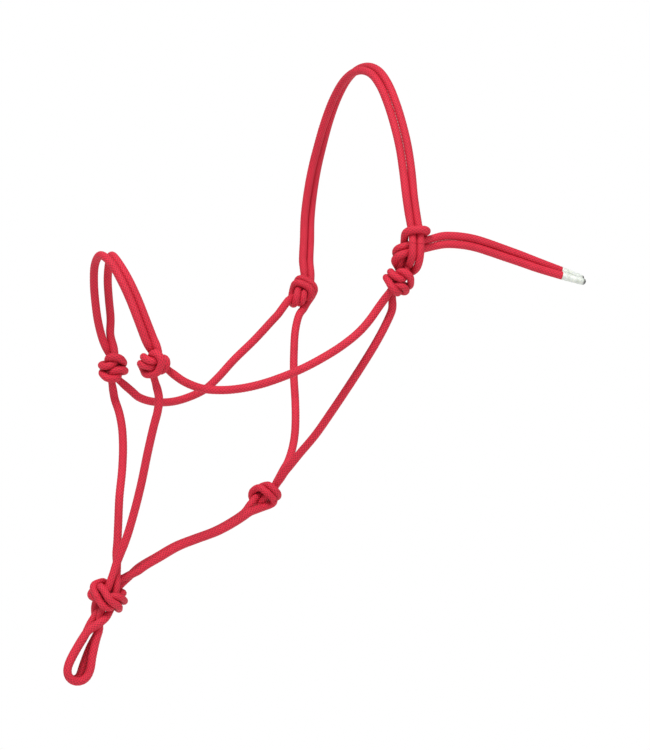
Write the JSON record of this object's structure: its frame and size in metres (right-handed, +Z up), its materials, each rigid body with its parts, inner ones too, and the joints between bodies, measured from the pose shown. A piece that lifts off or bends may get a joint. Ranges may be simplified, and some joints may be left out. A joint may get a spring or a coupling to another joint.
{
  "type": "rope halter",
  "caption": "Hand-tied horse halter of braided rope with overhand knots, a fiador knot, lead loops and a crown tied at the near cheek.",
  "frame": {"origin": "underside of the top of the crown, where it rests on the horse's poll", "axes": "+X to the horse's left (near) side, -Y towards its nose, +Z up"},
  "size_m": [0.2286, 0.4387, 0.5341],
  "materials": {
    "rope": "braided polyester, matt with a soft sheen",
    "tip": "heat-sealed core under clear shrink sleeve"
  },
  "bodies": {
    "crown": {"crown_strand_front": "rope", "crown_strand_back": "rope", "crown_sheet_bend": "rope", "tie_loop": "rope"},
    "cheek_frame": {"near_cheek_knot": "rope", "off_cheek_knot": "rope", "near_cheek_strand": "rope", "off_cheek_strand": "rope", "near_nose_knot": "rope", "off_nose_knot": "rope"},
    "noseband": {"noseband_strand_front": "rope", "noseband_strand_back": "rope"},
    "chin_sling": {"near_chin_strand": "rope", "off_chin_strand": "rope", "fiador_knot": "rope"},
    "jaw_strap": {"near_jaw_strand": "rope", "off_jaw_strand": "rope"},
    "throat_sling": {"near_throat_strand": "rope", "off_throat_strand": "rope", "throat_knot": "rope"},
    "lead_loops": {"near_lead_loop": "rope", "off_lead_loop": "rope"},
    "tails": {"upper_tail_strand": "rope", "lower_tail_strand": "rope", "upper_tail_tip": "tip", "lower_tail_tip": "tip"}
  },
  "joints": [
    {"name": "cheek_frame_swing", "type": "hinge", "parent": "crown", "child": "cheek_frame", "pos_m": [0, -0.014, -0.188], "axis": [1, 0, 0], "range_deg": [-35, 35], "stiffness_Nm_per_rad": 0.714, "springref_deg": -11.87},
    {"name": "noseband_fold", "type": "hinge", "parent": "cheek_frame", "child": "noseband", "pos_m": [0, -0.221, -0.261], "axis": [1, 0, 0], "range_deg": [-35, 25], "stiffness_Nm_per_rad": 0.1428, "springref_deg": -0.89},
    {"name": "chin_swing", "type": "hinge", "parent": "cheek_frame", "child": "chin_sling", "pos_m": [0, -0.221, -0.261], "axis": [1, 0, 0], "range_deg": [-5, 8], "stiffness_Nm_per_rad": 0.1428, "springref_deg": -0.41},
    {"name": "throat_swing", "type": "hinge", "parent": "cheek_frame", "child": "throat_sling", "pos_m": [0, -0.014, -0.188], "axis": [1, 0, 0], "range_deg": [-6.6, 10.5], "stiffness_Nm_per_rad": 0.1428, "springref_deg": -2.93},
    {"name": "jaw_swing", "type": "hinge", "parent": "chin_sling", "child": "jaw_strap", "pos_m": [0, -0.244, -0.452], "axis": [1, 0, 0], "range_deg": [-12.4, 7.8], "stiffness_Nm_per_rad": 0.1428, "springref_deg": 2.93},
    {"name": "lead_loop_swing", "type": "hinge", "parent": "chin_sling", "child": "lead_loops", "pos_m": [0, -0.244, -0.452], "axis": [1, 0, 0], "range_deg": [-40, 60], "stiffness_Nm_per_rad": 0.0714, "springref_deg": -1.45},
    {"name": "tail_swing", "type": "hinge", "parent": "crown", "child": "tails", "pos_m": [0.09, -0.005, -0.16], "axis": [1, 0, 0], "range_deg": [-30, 10], "stiffness_Nm_per_rad": 0.0971, "springref_deg": 7.95}
  ],
  "couplings": [
    {"joint": "throat_swing", "follows": "chin_swing", "ratio": 1.295},
    {"joint": "jaw_swing", "follows": "chin_swing", "ratio": -1.53}
  ]
}
